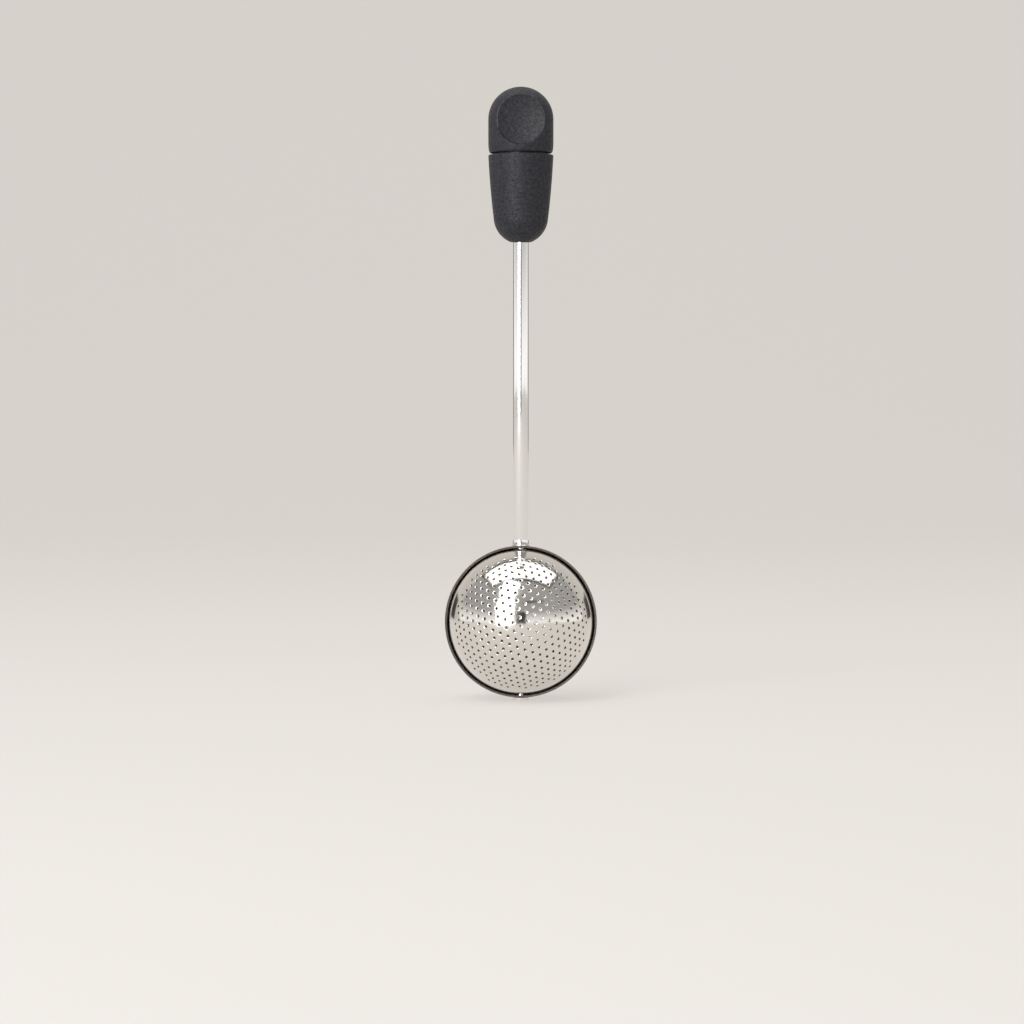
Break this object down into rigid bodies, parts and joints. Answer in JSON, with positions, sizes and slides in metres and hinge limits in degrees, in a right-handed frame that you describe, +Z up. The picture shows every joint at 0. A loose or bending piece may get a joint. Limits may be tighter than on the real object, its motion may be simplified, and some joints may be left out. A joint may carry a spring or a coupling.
{
  "type": "twisting tea ball infuser",
  "caption": "Loose-leaf tea infuser: a perforated steel ball of nested half shells on a stem, opened by twisting the soft knob above the grip.",
  "frame": {"origin": "on the stem's axis at the bottom face of the pivot rivet, the lowest point", "axes": "+Z up along the stem to the knob, -Y the front, where the inner half shell and a thumb dish face when closed"},
  "size_m": [0.045, 0.044, 0.18],
  "materials": {
    "soft_grip": "charcoal soft-touch elastomer, matte, faintly mottled",
    "hard_core": "black moulded polypropylene",
    "seal": "black silicone",
    "bearing_plastic": "natural acetal",
    "polished_steel": "polished stainless steel"
  },
  "bodies": {
    "handle_and_stem": {"grip_skin": "soft_grip", "grip_core": "hard_core", "tube_collar": "polished_steel", "stem_seal": "seal", "thrust_washer": "hard_core", "stem_tube": "polished_steel", "upper_bush": "bearing_plastic", "lower_bush": "bearing_plastic", "weld_collar": "polished_steel", "outer_half": "polished_steel"},
    "twister": {"knob_skin": "soft_grip", "knob_core": "hard_core", "knob_pin": "polished_steel", "spigot_o_ring": "seal", "drive_rod": "polished_steel", "hub_washer": "bearing_plastic", "inner_hub": "polished_steel", "inner_half": "polished_steel", "pivot_rivet": "polished_steel", "pivot_cap": "polished_steel"}
  },
  "joints": [
    {"name": "knob_twist", "type": "hinge", "parent": "handle_and_stem", "child": "twister", "pos_m": [0, 0, 0.16], "axis": [0, 0, 1], "range_deg": [0, 180]}
  ]
}
